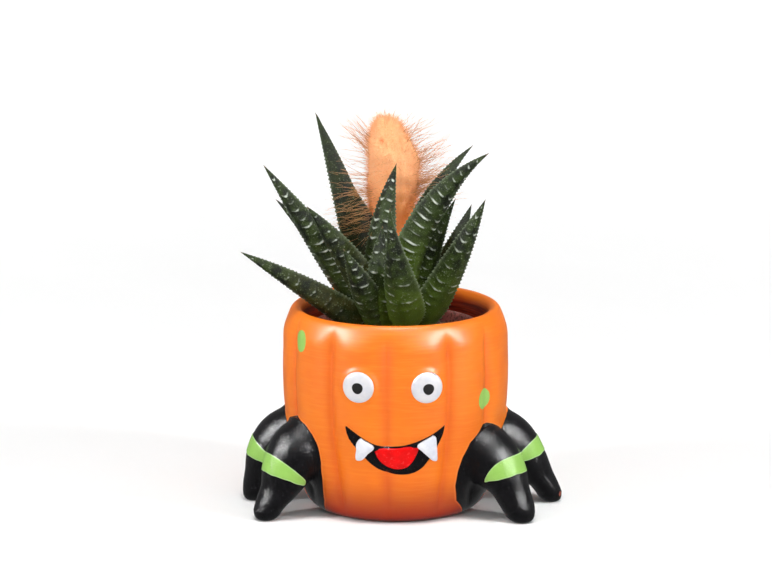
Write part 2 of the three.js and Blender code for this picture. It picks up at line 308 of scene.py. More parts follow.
legShape = {
    # each leg's direction, then down its middle: how far from the axis, height, radius
    "legs": {
        "leftFront": [209.5, [[33, 28, 10.5], [40, 23.6, 11.2], [44.6, 16.8, 9.4], [47.5, 10.8, 7.3],
                              [50.7, 6.2, 6.3], [52.5, 3.6, 5.4]]],
        "rightFront": [330.5, [[33, 25.6, 10], [40, 22.3, 10.8], [45.6, 16, 9], [49.2, 10.6, 7],
                               [51.6, 6.2, 6.5], [52.7, 3.6, 5.8]]],
        "leftRear": [178, [[33, 27.5, 10.5], [41.5, 23, 10.6], [46, 16.5, 9.4], [48.7, 10.6, 7.3],
                           [50.7, 6.3, 6], [51.6, 3.6, 5.2]]],
        "rightRear": [3, [[33, 28, 10], [41.5, 22.8, 10.2], [47.5, 15.8, 8.5], [52, 10, 6.5],
                          [55.2, 6.2, 5.5], [56.8, 3.6, 4.9]]],
    },
    # how far the black reaches to either side of a leg on the body, at each height
    "blackLeft": [[0, 5], [3.1, 9.4], [6.4, 12.9], [14.9, 15.6], [22.1, 17.1], [28.7, 16.9], [32.4, 14],
                  [35.5, 9.4], [37.1, 2.4], [38.5, -8]],
    "blackRight": [[0, 3], [1.4, 6.8], [7.5, 19], [13.6, 21.9], [19.5, 21.6], [24.6, 19.9], [30.1, 16],
                   [33, 11.1], [34.8, 6.4], [35.7, 0], [37, -8]],
    # all of a leg is black below this height, and the left front one's black runs up to a peak
    "blackBelow": 33.2,
    "blackPeak": 37.2,
    # on top of a front leg the black starts this far towards the face, at each distance from the axis
    "blackTop": [[40, -3], [43, -5], [45, -7], [47, -12]],
    # each green band: its upper edge's height, slope and curve, and its lower edge's height and slope
    "bands": {"leftFront": [24.5, 0.9, 0, 18.4, 0.42], "rightFront": [24.9, 0, 0.107, 18.7, 0.3],
              "leftRear": [24.3, 0.8, 0, 18.2, 0.3], "rightRear": [25.2, 0.3, 0.06, 19.6, 0.3]},
    # the shares of the leg where its end cap and its foot meet the shin
    "shin": [0.03, 0.82],
    "ankle": 3.6,
    # below the ankle: share of its width, height, how far the foot's middle steps outward
    "foot": [[1, 3.6, 0], [0.87, 1.8, 0.5], [0.68, 0.6, 0.9], [0.45, 0, 1], [0, 0, 1]],
    "bandStep": 0.22,
}

face = {
    "upperLip": [[-17.5, 38.6], [-14.7, 36.6], [-11, 34.1], [-7, 31.9], [-3.4, 31], [1, 31.1], [5, 31.7],
                 [9, 32.9], [13.8, 35], [19.4, 38.3]],
    "lowerLip": [[19.4, 38.3], [18.7, 35.1], [17.3, 32.2], [16.1, 30], [12.9, 25.2], [10.6, 22.4],
                 [7.3, 20.6], [3.4, 20.1], [-0.7, 20.5], [-4.7, 21.9], [-7.9, 24.2], [-9.9, 26.2],
                 [-13.5, 30.2], [-15.9, 33.4], [-17.5, 38.6]],
    "tongue": [[-6.6, 30], [-6.3, 28.6], [-5.2, 26.2], [-3.6, 24.3], [-1.2, 22.6], [1.7, 21.8],
               [4.6, 22.5], [6.6, 24.1], [8.2, 26.6], [9.3, 29.3], [9.2, 30.9], [6, 31], [1.5, 30.4],
               [-3, 30.3]],
    "fangs": [[[-11.2, 33.8], [-6.6, 30.6], [-8.8, 28.1], [-11.3, 25.4], [-13.1, 25.4], [-13.4, 26.6],
               [-13.1, 29.4], [-13.1, 31.5], [-12.1, 33.3]],
              [[14.6, 34.9], [9, 31.2], [10.6, 29.3], [12.6, 27.2], [14.7, 25.2], [16, 25.1], [16.2, 27.4],
               [16, 31], [15.6, 34.2]]],
    "mouthSunk": 1.0,
    "eyes": [[-12.05, 53.15], [12.25, 53.2]],
    "pupils": [[-12.5, 53.05], [13.1, 52.9]],
    "eyeRadius": 5.8,
    "eyeProfile": [[5.35, -2.2], [5.75, -0.3], [5.85, 0.45], [5.6, 1.05], [4.9, 1.55], [3.6, 1.95],
                   [1.8, 2.2], [0, 2.28]],
    "pupilRadius": 2.05,
}


def distanceToLeg(points, azimuth, middle):
    x, y, z = points.T
    out, side = spun(x, y, -azimuth)
    nearest = np.full(len(points), 1e9)
    for far, height, radius in curveThrough(middle, 1.5):
        nearest = np.minimum(nearest, np.sqrt((out - far) ** 2 + side ** 2 + (z - height) ** 2) - radius)
    return nearest


def filletSwell(gap):
    reach = potShape["fillet"]
    return np.maximum(reach - np.abs(gap), 0) ** 2 / (4 * reach)


def blackEdge(points):
    # how far inside the black paint a point of the body or of a leg lies, in millimetres
    r, angle, z = polar(points)
    onLeg = smooth(r - radiusAt(potShape["outside"], z), 0.3, 1.8)
    edge = np.full(len(z), -9.0)
    for name, (azimuth, middle) in legShape["legs"].items():
        hand = "Left" if name.startswith("left") else "Right"
        heights, halves = np.array(legShape["black" + hand]).T
        far, start = np.array(legShape["blackTop"]).T
        away = np.abs(turnFrom(angle, azimuth))
        # the right front leg's black ends in a point on the body, a little nearer the face
        point = smooth(z, 30, 35) if name == "rightFront" else 0 * z
        fromPoint = np.abs(turnFrom(angle, azimuth - 2.5 * point))
        below = (np.interp(z, heights, halves) * (1 - 0.3 * point) - fromPoint) * math.radians(1) * r
        out, side = r * np.cos(np.radians(away)), r * np.sin(np.radians(angle - azimuth))
        forward = side if hand == "Left" else -side
        onTop = (forward - np.interp(out, far, start)) * 0.8
        beyond = onTop if name.endswith("Front") else out - potShape["belly"]
        beyond = np.maximum(beyond, legShape["blackBelow"] - z)
        if name == "leftFront":
            beyond = np.minimum(beyond, legShape["blackPeak"] - z + 0.8 * np.maximum(out - 43, 0))
        share = onLeg * (smooth(z, 34.4, 33.2) if name == "rightFront" else 1)
        edge = np.maximum(edge, np.where(away < 45, below * (1 - share) + beyond * share, -9))
    return np.clip(edge, -3, 3)


def mouthOutline():
    return np.vstack([curveThrough(face["upperLip"], 1)[:-1], curveThrough(face["lowerLip"], 1)[:-1]])


def makePotBody(material):
    shape = potShape
    base = [[r, 0] for r in np.linspace(0, shape["baseRadius"], 5)]
    floor = [[r, shape["floor"]] for r in np.linspace(shape["floorRadius"], 0, 5)]
    outside = curveThrough(shape["outside"], 0.6)
    inside = curveThrough(shape["inside"], 1.8)[1:]
    ribs = len(shape["creases"]) - 1
    mesh = turnedMesh("potBody", [*base, *outside, *inside, *floor], ribs * shape["columnsInRib"])
    r, angle, z = polar(getPoints(mesh))

    # the columns move round so that each crease has a column of its own and fine ones beside it
    turn = angle % 360 / 360 * ribs
    rib = np.minimum(np.floor(turn + 1e-6).astype(int), ribs - 1)
    share = np.clip(turn - rib, 0, 1)
    share = share - 0.45 * np.sin(2 * math.pi * share) / (2 * math.pi)
    creases = np.array(shape["creases"], float)
    angle = creases[rib] + share * (creases[rib + 1] - creases[rib])
    c, s = np.cos(np.radians(angle)), np.sin(np.radians(angle))

    outer = r >= np.interp(z, *np.array(shape["wallMiddle"]).T)
    flat = np.column_stack([r * c, r * s, z])
    mouth = np.where(outer & (s < -0.5), distanceInside(r * c, z, mouthOutline()), -9)
    inMouth = smooth(mouth, -0.1, 0.7)
    fade = smooth(z, 1, 10) * (1 - smooth(z, 63, 74.5)) * outer
    # each crease is a soft valley with a finer line down its middle
    fromCrease = np.minimum(share, 1 - share) * (creases[rib + 1] - creases[rib]) * math.radians(1) * r
    sunk = (0.3 * np.exp(-(fromCrease / 1.2) ** 2) + 0.7 * np.exp(-(fromCrease / 4) ** 2)) * fade
    shoulder = np.exp(-((z - 67) / 4.5) ** 2) * np.sin(math.pi * share) ** 0.7 * outer
    grow = -shape["ribDepth"] * sunk * (1 - inMouth) + 0.6 * shoulder
    grow -= face["mouthSunk"] * inMouth - 0.9 * np.exp(-((mouth - 1.8) / 0.95) ** 2)
    for x, height in face["eyes"]:
        ring = np.hypot(r * c - x, z - height) - face["eyeRadius"]
        grow += np.where(outer & (s < 0), 0.75 * np.exp(-(np.maximum(ring, 0) / 1.0) ** 2), 0)
    for azimuth, middle in legShape["legs"].values():
        grow += np.where(outer, filletSwell(distanceToLeg(flat, azimuth, middle)), 0)
    dots = np.full(len(z), -9.0)
    for azimuth, height, radius in shape["dots"]:
        away = turnFrom(angle, azimuth) * math.radians(1) * shape["belly"]
        dots = np.maximum(dots, radius - np.hypot(away, (z - height) * 0.95))
    grow *= outer
    final = np.column_stack([(r + grow) * c, (r + grow) * s, z])
    setPoints(mesh, final)
    addLayers(mesh, {
        "mouthEdge": np.clip(mouth, -3, 3), "blackEdge": np.where(outer, blackEdge(final), -3),
        "dotEdge": np.where(outer, np.clip(dots, -3, 3), -3), "crease": sunk,
        "insideDepth": np.where(outer, -1, shape["top"] - z), "bandEdge": -3,
    })
    finishPiece("potBody", mesh, material, "pot")


def makeLeg(name, azimuth, middle, bandSpec, material):
    line = curveThrough(middle, 0.5)
    foot = curveThrough(legShape["foot"], 0.08)
    capEnd, footStart = legShape["shin"]

    def shape(u, v):
        a = 2 * math.pi * u
        t = np.clip((v - capEnd) / (footStart - capEnd), 0, 1) * (len(line) - 1)
        centre = rowAt(line, t)
        slope = rowAt(np.gradient(line[:, :2], axis=0), t)
        slope /= np.linalg.norm(slope, axis=1)[:, None]
        # rings lie square to the leg's run at the top and turn level towards the foot
        level = np.minimum(1, (1.1 * t / (len(line) - 1)) ** 2)[:, None]
        slope = slope * (1 - level) + np.array([0, -1]) * level
        slope /= np.linalg.norm(slope, axis=1)[:, None]
        radius = centre[:, 2] * np.clip(v / capEnd, 0, 1) ** 0.5
        # round the leg: one way is level, the other is square to the leg's own run
        outX, outZ, outSide = -slope[:, 1] * np.cos(a), slope[:, 0] * np.cos(a), np.sin(a)
        out, side, z = centre[:, 0] + radius * outX, radius * outSide, centre[:, 1] + radius * outZ
        down = np.clip((v - footStart) / (1 - footStart), 0, 1)
        order = np.linspace(0, 1, len(foot))
        keep, height, step = (np.interp(down, order, foot[:, k]) for k in range(3))
        onFoot = v > footStart
        lean = (z - legShape["ankle"]) * (1 - down) ** 3 * (down < 1)
        z = np.where(onFoot, np.maximum(height, 0) + lean, z)
        out = np.where(onFoot, line[-1, 0] + step + (out - line[-1, 0]) * keep, out)
        side = np.where(onFoot, side * keep, side)
        z = np.maximum(z, 0)
        swell = filletSwell(np.hypot(out, side) - radiusAt(potShape["outside"], z)) * (~onFoot)
        # the painted band is a shallow step round the shin, narrower towards the crotch
        wobble = 0.12 * np.sin(5 * a + azimuth) + 0.08 * np.sin(11 * a)
        top, slopeTop, curveTop, bottom, slopeBottom = bandSpec
        inward = np.maximum(52.5 - out, 0)
        upper = top - slopeTop * (52 - out) - curveTop * inward ** 2
        lower = bottom - slopeBottom * (54.6 - out) + wobble
        above, below, outward = (upper - z) * 0.75, (z - lower) * 0.93, (out - 41) * 0.9
        band = -np.log(np.exp(-2.5 * above) + np.exp(-2.5 * below) + np.exp(-2.5 * outward)) / 2.5 + 0.1
        swell = swell + legShape["bandStep"] * smooth(band, -0.15, 0.15)
        out, side, z = out + swell * outX, side + swell * outSide, z + swell * outZ
        points = np.column_stack([*spun(out, side, azimuth), z])
        layers = {"bandEdge": np.clip(band, -3, 3), "blackEdge": blackEdge(points), "mouthEdge": -3,
                  "dotEdge": -3, "crease": 0, "insideDepth": -1}
        return points, layers

    mesh = wrappedMesh(name, 96, 170, shape)
    finishPiece(name, mesh, material, "pot")


def onFront(x, z, rise):
    return np.column_stack([x, -np.sqrt((radiusAt(potShape["outside"], z) + rise) ** 2 - x ** 2), z])


def puffedMesh(name, outline, root, edge, rise, roundness):
    # a puffed shape on the pot's front, from its outline: a root in the wall, a short side, then a dome
    line = curveThrough(np.vstack([outline, outline[:1]]), 0.25)
    centre = line[:-1].mean(axis=0)

    def shape(u, v):
        order = np.linspace(0, 1, len(line))
        x, z = np.interp(u, order, line[:, 0]), np.interp(u, order, line[:, 1])
        dome = np.clip((v - 0.25) / 0.75, 0, 1)
        keep = np.where(v < 0.1, v / 0.1, np.cos(dome * math.pi / 2) ** roundness)
        lift = np.where(v <= 0.1, root, root + (edge - root) * np.clip((v - 0.1) / 0.15, 0, 1))
        lift = np.where(v > 0.25, edge + (rise - edge) * np.sin(dome * math.pi / 2), lift)
        x, z = centre[0] + (x - centre[0]) * keep, centre[1] + (z - centre[1]) * keep
        return onFront(x, z, lift), {}

    return wrappedMesh(name, 120, 48, shape)


def makeFace(toothMaterial, tongueMaterial, eyeMaterial):
    mesh = puffedMesh("tongue", np.array(face["tongue"]), -3.5, -0.7, 0.25, 0.75)
    finishPiece("tongue", mesh, tongueMaterial, "pot")
    for side, outline in zip(("left", "right"), face["fangs"]):
        mesh = puffedMesh(side + "Fang", np.array(outline), -3, 0.5, 1.45, 0.85)
        finishPiece(side + "Fang", mesh, toothMaterial, "pot")
    profile = curveThrough(face["eyeProfile"], 0.22)
    for side, (x, z), (pupilX, pupilZ) in zip(("left", "right"), face["eyes"], face["pupils"]):
        mesh = turnedMesh(side + "Eye", [[0, -2.2], [2.6, -2.2], *profile], 96)
        points = getPoints(mesh)
        turn = math.asin(x / 41.5)
        # the eye's own axis turns to look straight out of the body, then the eye moves to its place
        place = Matrix.Rotation(turn, 3, "Z") @ Matrix.Rotation(math.pi / 2, 3, "X")
        seat = -potShape["belly"] * math.cos(turn)
        points = points @ np.array(place).T + np.array([x, seat, z])
        setPoints(mesh, points)
        away = np.hypot((points[:, 0] - pupilX) / math.cos(turn), points[:, 2] - pupilZ)
        wobble = 0.06 * np.sin(3 * np.arctan2(points[:, 2] - pupilZ, points[:, 0] - pupilX))
        inPupil = np.clip(face["pupilRadius"] + wobble - away, -3, 3)
        addLayers(mesh, {"pupilEdge": np.where(points[:, 1] < seat, inPupil, -3)})
        finishPiece(side + "Eye", mesh, eyeMaterial, "pot")


def potPaint():
    paint = Paint("potPaint", 0.26)
    layers = ("crease", "mouthEdge", "blackEdge", "dotEdge", "insideDepth", "bandEdge")
    crease, mouth, black, dots, inside, band = map(paint.layer, layers)
    height, broad, fine = paint.height(), paint.grain(16, 2), paint.grain(0.5, 4)
    brushed = paint.grain(1.3, 3, (0.12, 0.12, 1.6))
    orange = paint.mottle(broad, 0.3, 0.7, shade(234, 118, 9), shade(228, 109, 8))
    orange = paint.blend(paint.step(brushed, 0.4, 0.75) * 0.34, orange, shade(240, 136, 34))
    # the creases are painted darker and redder: painted shade in the valleys
    orange = paint.blend(paint.step(crease, 0.2, 1.0) * 0.36, orange, shade(212, 74, 3))
    # darker and redder towards the bottom, darkest along the bottom edge: painted shade
    orange = paint.blend((1 - paint.step(height, 1, 20)) * 0.95, orange, shade(142, 26, 8))
    orange = paint.blend((1 - paint.step(height + broad * 3, 1.5, 4.5)) * 0.5, orange, shade(84, 28, 16))
    # inside the pot the wall is painted darker red-brown further down: painted shade, streaked along fine
    # level lines
    lines = paint.grain(1.1, 4, (0.05, 0.05, 1.4))
    innerWallShade = paint.mottle(lines, 0.35, 0.65, shade(100, 24, 12), shade(158, 54, 24))
    orange = paint.mottle(inside + broad * 1.5, 1.6, 5.5, orange, innerWallShade)
    green = paint.blend(fine, shade(132, 180, 78), shade(150, 196, 98))
    orange = paint.mottle(dots + fine * 0.25, 0.05, 0.25, orange, green)
    # the orange is painted lighter where it meets the black: a painted highlight beside the black
    orange = paint.blend(paint.step(black, -1.1, -0.3) * 0.3, orange, shade(242, 134, 60))
    streaks, specks = paint.grain(0.9, 3, (1, 1, 0.35)), paint.grain(0.55, 3)
    ink = paint.mottle(streaks, 0.4, 0.7, shade(7, 7, 9), shade(17, 16, 19))
    # light grey specks in the black are painted glints
    ink = paint.blend(paint.step(specks, 0.64, 0.72) * 0.3, ink, shade(70, 68, 72))
    eitherBlack = paint.node("ShaderNodeMath", {"operation": "MAXIMUM"}, {0: mouth, 1: black})
    onBlack = paint.step(eitherBlack, -0.08, 0.08)
    ragged = band + (fine - 0.5) * 0.3
    onBand = paint.step(ragged, -0.06, 0.06)
    # a pale line along the band's edges is a painted highlight
    rim = onBand * (1 - paint.step(ragged, 0.15, 0.4))
    green = paint.blend(rim * 0.35, green, shade(206, 230, 188))
    colour = paint.blend(onBand, paint.blend(onBlack, orange, ink), green)
    # one small chip shows the clay on the right rear foot
    chip = {0: paint.place(), 1: (61.4, 0.8, 3.2)}
    away = paint.node("ShaderNodeVectorMath", {"operation": "DISTANCE"}, chip, 1)
    colour = paint.mottle(away + fine * 0.8, 1.2, 1.6, shade(128, 62, 48), colour)
    roughness = 0.36 + brushed * 0.1 * (1 - onBlack) - onBlack * (0.26 - specks * 0.22)
    roughness = roughness - paint.step(mouth, 0, 0.2) * 0.06
    bumps = paint.relief(fine * (1 - onBlack * 0.5), 0.035, 0.7)
    bumps = paint.relief(streaks * onBlack, 0.1, 0.8, bumps)
    bumps = paint.relief(specks * onBlack, 0.22, 0.9, bumps)
    bumps = paint.relief(brushed * (1 - onBlack), 0.1, 0.6, bumps)
    bumps = paint.relief(lines * paint.step(inside, 2, 8), 0.5, 0.9, bumps)
    return paint.finish(colour, roughness, bumps)


def eyePaint():
    paint = Paint("eyePaint", 0.35, {"Coat Weight": 0.2, "Coat Roughness": 0.12})
    fine, broad = paint.grain(0.6, 3), paint.grain(3, 2)
    white = paint.mottle(broad, 0.3, 0.7, shade(210, 208, 210), shade(198, 199, 206))
    onPupil = paint.step(paint.layer("pupilEdge"), -0.06, 0.06)
    colour = paint.blend(onPupil, white, shade(20, 17, 17))
    return paint.finish(colour, 0.3 + fine * 0.1, paint.relief(fine, 0.05, 0.5))


def glossPaint(name, dark, light, grainSize):
    paint = Paint(name, 0.22)
    fine, broad = paint.grain(grainSize, 3), paint.grain(grainSize * 4, 2)
    colour = paint.mottle(broad, 0.3, 0.7, dark, light)
    return paint.finish(colour, 0.2 + fine * 0.12, paint.relief(fine, 0.12, 0.6))


print("stage: pot")
potMaterial = potPaint()
makePotBody(potMaterial)
for name, (azimuth, middle) in legShape["legs"].items():
    makeLeg(name + "Leg", azimuth, middle, legShape["bands"][name], potMaterial)
makeFace(glossPaint("toothPaint", shade(204, 208, 218), shade(220, 222, 228), 0.8),
         glossPaint("tonguePaint", shade(206, 0, 0), shade(230, 0, 1), 1.1), eyePaint())


growerPot = {
    # radius and height up the outside, over the rolled rim and down the inside
    "wall": [[0, 11.5], [10, 11.5], [20.5, 11.5], [21.5, 12.5], [24.2, 30], [26.9, 47], [29.3, 63.4],
             [30.7, 63.7], [31.3, 64.6], [31.4, 65.6], [31.2, 67], [30.6, 67.6], [30, 67.5], [29.3, 66.9],
             [28.9, 65.6], [28.5, 64], [25.4, 44], [22.6, 26], [20.4, 13.2], [19.6, 12.6], [10, 12.6],
             [0, 12.6]],
    "steps": 144,
}

soilBed = {
    "wall": [[0, 12.6], [10, 12.6], [18.9, 12.6], [20.1, 13.6], [22.3, 26], [25.1, 44], [27.9, 62.6]],
    "top": 63.6,
    "radius": 27.6,
    "grit": 420,
    "gritRadius": 27.2,
    "gritSize": [0.28, 0.95],
    # no grit where the plants stand: x, y, radius
    "plants": [[1, -1, 7], [-1.4, 14, 7.5]],
}


def soilHeight(x, y):
    uneven = 0.42 * np.sin(0.42 * x + 1.3) * np.cos(0.37 * y) + 0.22 * np.sin(0.9 * x - 0.7 * y)
    crumbs = 0.14 * np.sin(2.6 * x + 0.6 * y) * np.sin(2.3 * y - 0.9 * x)
    return soilBed["top"] + uneven + (crumbs + 0.1 * np.sin(5.1 * x) * np.cos(4.7 * y))


def makeSoil(soilMaterial, gritMaterial):
    rings = [[r, soilBed["top"]] for r in np.linspace(soilBed["radius"], 0, 56)]
    mesh = turnedMesh("soilBed", [*soilBed["wall"], *rings], 160)
    points = getPoints(mesh)
    top = points[:, 2] > soilBed["top"] - 0.01
    edge = smooth(np.hypot(points[:, 0], points[:, 1]), soilBed["radius"], 26)
    lift = (soilHeight(points[:, 0], points[:, 1]) - soilBed["top"]) * edge
    points[:, 2] += np.where(top, lift, 0)
    setPoints(mesh, points)
    finishPiece("soilBed", mesh, soilMaterial, "soil")

    random = np.random.default_rng(11)
    bm = bmesh.new()
    small, large = soilBed["gritSize"]
    for i in range(soilBed["grit"]):
        r, a = soilBed["gritRadius"] * math.sqrt(random.random()), random.random() * 2 * math.pi
        x, y = r * math.cos(a), r * math.sin(a)
        size = small + (large - small) * random.random() ** 2.5
        if min(math.dist((x, y), (px, py)) - reach for px, py, reach in soilBed["plants"]) < size:
            continue
        place = Matrix.Translation(Vector((x, y, soilHeight(x, y) + size * 0.25)) * mm)
        squash = Matrix.Diagonal((*(size * mm * random.uniform(0.65, 1.2, 3)), 1))
        tumble = Matrix.Rotation(random.random() * 6, 4, random.uniform(-1, 1, 3))
        bmesh.ops.create_icosphere(bm, subdivisions=1, radius=1, matrix=place @ tumble @ squash)
    finishPiece("grit", meshFrom("grit", bm), gritMaterial, "soil")


def soilPaint():
    paint = Paint("soilPaint", 0.3)
    clumps, grains, fibres = paint.grain(2.2, 4), paint.grain(0.45, 3), paint.grain(0.8, 2, (1, 0.2, 1))
    colour = paint.mottle(clumps, 0.35, 0.65, shade(44, 26, 19), shade(92, 58, 42))
    colour = paint.mottle(grains, 0.58, 0.7, colour, shade(150, 112, 88))
    colour = paint.blend(paint.step(fibres, 0.68, 0.76) * 0.7, colour, shade(24, 14, 10))
    return paint.finish(colour, 0.85 + grains * 0.12, paint.relief(clumps + grains * 0.7, 0.9))


def gritPaint():
    paint = Paint("gritPaint", 0.4)
    stones, fine = paint.grain(1.4, 0), paint.grain(0.2, 3)
    stops = [(0.3, shade(60, 36, 27)), (0.42, shade(128, 92, 74)), (0.55, shade(196, 172, 150)),
             (0.66, shade(98, 66, 50))]
    ramp = paint.node("ShaderNodeValToRGB", {"stops": stops}, {0: stones})
    colour = paint.blend(fine * 0.5, ramp, shade(90, 64, 50))
    return paint.finish(colour, 0.6 + fine * 0.3, paint.relief(fine, 0.2, 0.8))


def growerPaint():
    paint = Paint("growerPlastic", 0.45)
    fine, scuffs = paint.grain(0.5, 3), paint.grain(6, 3, (1, 1, 0.2))
    colour = paint.mottle(scuffs, 0.35, 0.7, shade(128, 66, 58), shade(156, 86, 78))
    dirt = paint.step(paint.grain(1.1, 4), 0.48, 0.6)
    colour = paint.blend(dirt * 0.8, colour, shade(74, 44, 34))
    return paint.finish(colour, 0.4 + fine * 0.2 + dirt * 0.2, paint.relief(fine, 0.06, 0.6))


print("stage: grower's pot and soil")
growerMesh = turnedMesh("growerPot", curveThrough(growerPot["wall"], 0.7), growerPot["steps"])
finishPiece("growerPot", growerMesh, growerPaint(), "nursery_pot")
makeSoil(soilPaint(), gritPaint())


rosette = [1, -1]
# each leaf's way, swing by the tip, lean at base and tip, turn, length, width, how far out and how high it
# starts, how pale its ridges are, how yellow-green its base, how brown it is, how far its ridges break up
leaves = {
    "leaf_heart": [100, 0, [4, 0], 0, 26, 7.5, 2, 66, 0.5, 0.8, 0, 0.2],
    "leaf_middle": [-150, 12, [18, -22.5], 35, 65, 15, 2.5, 64, 0.95, 0.75, 0, 0.1],
    "leaf_front": [-72, -80, [38, 4], 0, 56, 15.5, 4.5, 64, 0.6, 0.9, 0, 0.4],
    "leaf_second": [-120, 10, [36, -20], 20, 45, 13, 4.5, 63.5, 0.8, 0.8, 0, 0.2],
    "leaf_right_tall": [-20, 3, [-10, 58], -50, 81, 17, 4, 64, 1, 0.8, 0, 0.1],
    "leaf_right_inner": [-11, 0, [7, 28], -45, 55, 12, 5, 63.5, 0.6, 0.5, 0, 0.3],
    "leaf_right_low": [-24, 0, [31, 26], -45, 62, 14, 5.5, 63, 0.75, 0.55, 0, 0.15],
    "leaf_left_front": [-157, -4, [20, 42], 45, 60, 17, 4.5, 63, 1, 0.35, 0.5, 0.4],
    "leaf_front_short": [-131, -2, [30, 34], 25, 44, 14, 5.5, 63, 0.8, 0.45, 0, 0.3],
    "leaf_left_low": [-164, 0, [53, 61], 50, 64, 14, 5.5, 63, 0.45, 0.2, 0.45, 0.5],
    "leaf_left_upper": [-174, 0, [34, 36], 55, 78, 16, 4.5, 64, 1, 0.3, 0.1, 0.25],
    "leaf_left_tall": [153, 0, [13, 28], -50, 87, 17.5, 4.5, 62.5, 0.55, 0.1, 0.6, 0.4],
    "leaf_right_rear": [18, 0, [-13, 51], 40, 77, 12.5, 5, 64, 0.5, 0.2, 0.3, 0.3],
    "leaf_right_outer": [8, 0, [27, 20], 50, 54, 14, 5.5, 62.5, 0.5, 0.2, 0, 0.3],
    "leaf_left_rear": [175, 0, [29, 47], 60, 65, 13, 5.5, 62.5, 0.8, 0.2, 0, 0.3],
    "leaf_back_right": [44, 6, [34, 12], 0, 34, 12, 5, 63, 0.9, 0.6, 0, 0.2],
    "leaf_back_left": [136, -4, [44, 16], 0, 36, 13, 5, 62.5, 0.9, 0.6, 0, 0.2],
}

leafDetail = {
    "rowLength": 0.42,
    "around": 44,
    "ridgeSpacing": 3.15,
    "ridgeHeight": 0.6,
    "toothSpacing": 1.5,
    "toothHeight": 0.6,
    # shares of the leaf's width: its keel's height and its inner face's hollow
    "keel": 0.38,
    "hollow": 0.09,
    # the tall left leaf narrows early on its right side, by this share
    "slimLeaf": "leaf_left_tall",
    "slim": 0.46,
}


def makeLeaf(name, spec, number, material):
    way, swing, lean, turn, long, wide, out, up, pale, warm, brown, beads = spec
    rows = round(long / leafDetail["rowLength"])
    random = np.random.default_rng(100 + number)

    # the middle line: where each row of the grid sits, and which ways are along, across and outward there
    t = np.linspace(0, 1, rows + 1)
    tilt = np.radians(lean[0] + (lean[1] - lean[0]) * t)
    azimuth = np.radians(way + swing * t)
    outward = np.column_stack([np.cos(azimuth), np.sin(azimuth), 0 * t])
    growth = outward * np.sin(tilt)[:, None] + np.array([0, 0, 1]) * np.cos(tilt)[:, None]
    middle = np.vstack([[0, 0, 0], np.cumsum((growth[1:] + growth[:-1]) / 2 * long / rows, axis=0)])
    start = math.radians(way)
    middle += np.array([rosette[0] + out * math.cos(start), rosette[1] + out * math.sin(start), up])
    side = np.column_stack([-outward[:, 1], outward[:, 0], 0 * t])
    back = outward * np.cos(tilt)[:, None] - np.array([0, 0, 1]) * np.sin(tilt)[:, None]
    c, s = math.cos(math.radians(turn)), math.sin(math.radians(turn))
    side, back = side * c + np.cross(growth, side) * s, back * c + np.cross(growth, back) * s

    # no two ridges are alike: each has a strength on each side of the keel, and drifts a little
    ridges = int(long / leafDetail["ridgeSpacing"]) + 4
    strength = random.uniform(0.45, 1, (ridges, 2))
    drift = random.uniform(-0.16, 0.16, (ridges, 2))

    def shape(u, v):
        a = 2 * math.pi * u
        across = np.cos(a)
        outer = np.sin(a) > 0
        width = (0.5 + 0.5 * smooth(v, 0, 0.26)) * (1 - np.clip((v - 0.2) / 0.8, 0, 1) ** 1.7)
        width = width * np.clip(v / 0.012, 0, 1) ** 0.5
        keel = (1 - np.abs(across) ** 1.4) ** 0.95
        thick = wide * leafDetail["keel"] * width ** 0.8
        hollow = wide * leafDetail["hollow"] * width * (1 - across ** 2)
        deep = np.where(outer, keel * thick, -hollow)

        # ridges sag towards the base halfway out from the keel, and break into beads low on the leaf
        half = np.abs(across)
        phase = v * long / leafDetail["ridgeSpacing"] * (1 - 0.12 * (v - 0.5))
        phase += 0.34 * (1 - (2 * half - 1) ** 2)
        phase += 0.05 * np.sin(9 * across + number)
        which = np.clip(np.round(phase).astype(int), 0, ridges - 1)
        onSide = (across > 0).astype(int)
        near = phase - which + drift[which, onSide]
        crest = np.exp(-(near / 0.15) ** 2)
        reach = 0.3 + 0.7 * np.clip(np.sin(math.pi * np.clip(half * 0.92 + 0.06, 0, 1)), 0, 1)
        bead = 0.5 + 0.5 * np.cos(2 * math.pi * (across * (2.6 + 0.5 * (which % 3)) + 0.37 * which))
        broken = np.clip(beads + smooth(v, 0.42, 0.12), 0, 1)
        ridge = crest * reach * strength[which, onSide] * (1 - broken * (1 - bead ** 2))
        ridge *= smooth(v, 0.985, 0.93)
        ridge = np.where(outer, ridge, 0.3 * crest * bead ** 3 * smooth(half, 0.95, 0.6))
        wave = 2 * math.pi * v * long / leafDetail["toothSpacing"]
        tooth = np.clip(np.cos(wave + 2 * np.sin(7 * v)), 0, 1)
        margin = half ** 24 * smooth(v, 0.99, 0.93)
        thin = np.clip(width * 2.2, 0, 1)
        deep = deep + np.where(outer, 1, -1) * leafDetail["ridgeHeight"] * ridge * thin
        reachOut = across * (wide / 2 * width + leafDetail["toothHeight"] * tooth * margin * thin)
        if name == leafDetail["slimLeaf"]:
            slim = leafDetail["slim"] * smooth(v, 0.42, 0.68) * smooth(v, 1, 0.94)
            reachOut = np.where(across < 0, reachOut * (1 - slim), reachOut)
        here, sideways, outwards = (rowAt(line, v * rows) for line in (middle, side, back))
        points = here + sideways * reachOut[:, None] + outwards * deep[:, None]
        # the middle of each side of the leaf, where the ridges get a painted highlight
        spot = np.exp(-((half - 0.48) / 0.27) ** 2) * outer
        layers = {"ridge": ridge, "spot": spot, "tooth": margin * (0.4 + 0.6 * tooth), "along": v,
                  "keelWay": across, "innerFace": ~outer, "pale": pale, "warm": warm, "brown": brown}
        return points, layers

    mesh = wrappedMesh(name, leafDetail["around"], rows, shape)
    finishPiece("haworthia_" + name, mesh, material, name)


